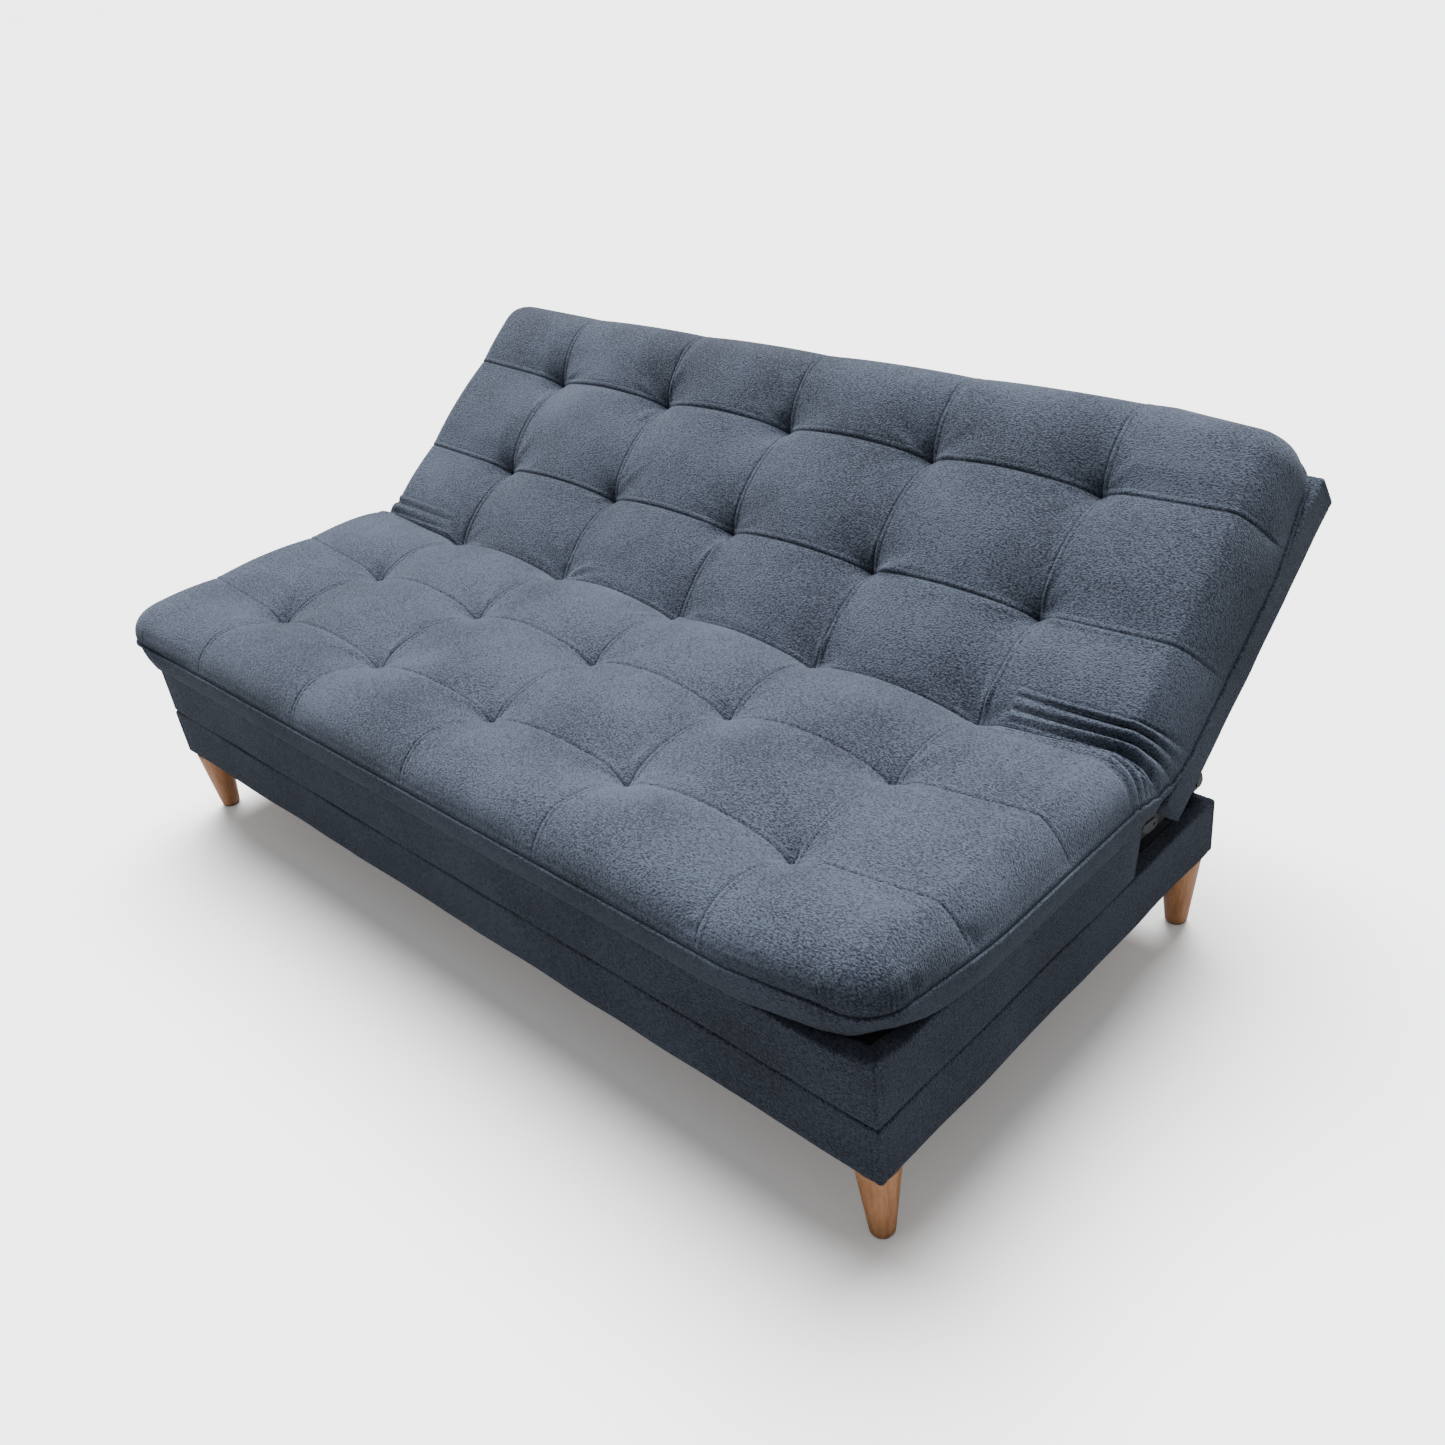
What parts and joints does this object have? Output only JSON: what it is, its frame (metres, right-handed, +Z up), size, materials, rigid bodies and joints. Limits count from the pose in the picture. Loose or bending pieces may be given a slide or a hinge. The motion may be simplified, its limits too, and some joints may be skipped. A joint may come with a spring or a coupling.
{
  "type": "futon sofa bed",
  "caption": "Click-clack futon sofa bed: tufted mattress on a lifting seat box and a reclining back, over a storage base with tapered wooden legs.",
  "frame": {"origin": "centre of the object's box on the floor", "axes": "+X along the width, to the right as seen from the front, +Y from front to back, +Z up"},
  "size_m": [1.76, 1.0681, 0.7238],
  "materials": {
    "upholstery": "matte slate-blue suede-like weave",
    "dark_cloth": "matte black lining felt",
    "beech": "satin lacquer",
    "pine": "sawn",
    "hardboard": "smooth hardboard",
    "black_steel": "black powder coat",
    "zinc_steel": "zinc plate",
    "glide_plastic": "moulded"
  },
  "bodies": {
    "base": {"base_left_board": "upholstery", "base_right_board": "upholstery", "base_front_board": "upholstery", "base_rear_board": "upholstery", "base_centre_beam": "pine", "corner_block_front_left": "pine", "corner_block_rear_left": "pine", "corner_block_front_right": "pine", "corner_block_rear_right": "pine", "storage_floor": "hardboard", "rear_deck": "dark_cloth", "leg_front_left": "beech", "leg_glide_front_left": "glide_plastic", "leg_plate_front_left": "zinc_steel", "leg_rear_left": "beech", "leg_glide_rear_left": "glide_plastic", "leg_plate_rear_left": "zinc_steel", "base_bracket_left": "black_steel", "lift_pin_left": "zinc_steel", "leg_front_right": "beech", "leg_glide_front_right": "glide_plastic", "leg_plate_front_right": "zinc_steel", "leg_rear_right": "beech", "leg_glide_rear_right": "glide_plastic", "leg_plate_rear_right": "zinc_steel", "base_bracket_right": "black_steel", "lift_pin_right": "zinc_steel"},
    "seat": {"seat_left_board": "upholstery", "seat_right_board": "upholstery", "seat_front_board": "upholstery", "seat_rear_board": "pine", "seat_slat_1": "pine", "seat_slat_2": "pine", "seat_slat_3": "pine", "seat_slat_4": "pine", "seat_slat_5": "pine", "seat_deck": "dark_cloth", "seat_pad": "upholstery", "fold_pad": "upholstery", "seat_arm_left": "black_steel", "recline_pin_left": "zinc_steel", "seat_arm_right": "black_steel", "recline_pin_right": "zinc_steel"},
    "back": {"back_left_rail": "upholstery", "back_right_rail": "upholstery", "back_top_rail": "upholstery", "back_bottom_rail": "pine", "back_slat_1": "pine", "back_slat_2": "pine", "back_slat_3": "pine", "back_slat_4": "pine", "back_rear_panel": "upholstery", "back_pad": "upholstery", "back_arm_left": "black_steel", "back_arm_right": "black_steel"},
    "left_pawl": {"pawl_left": "zinc_steel"},
    "right_pawl": {"pawl_right": "zinc_steel"}
  },
  "joints": [
    {"name": "seat_lift", "type": "hinge", "parent": "base", "child": "seat", "pos_m": [0, 0.284, 0.246], "axis": [-1, 0, 0], "range_deg": [0, 30]},
    {"name": "back_recline", "type": "hinge", "parent": "seat", "child": "back", "pos_m": [0, 0.11, 0.293], "axis": [1, 0, 0], "range_deg": [-38, 37], "deforming": ["fold_pad"]},
    {"name": "left_pawl_release", "type": "hinge", "parent": "seat", "child": "left_pawl", "pos_m": [-0.8187, 0.144, 0.256], "axis": [1, 0, 0], "range_deg": [0, 12], "stiffness_Nm_per_rad": 0.3, "springref_deg": -11.46},
    {"name": "right_pawl_release", "type": "hinge", "parent": "seat", "child": "right_pawl", "pos_m": [0.8187, 0.144, 0.256], "axis": [1, 0, 0], "range_deg": [0, 12], "stiffness_Nm_per_rad": 0.3, "springref_deg": -11.46}
  ]
}
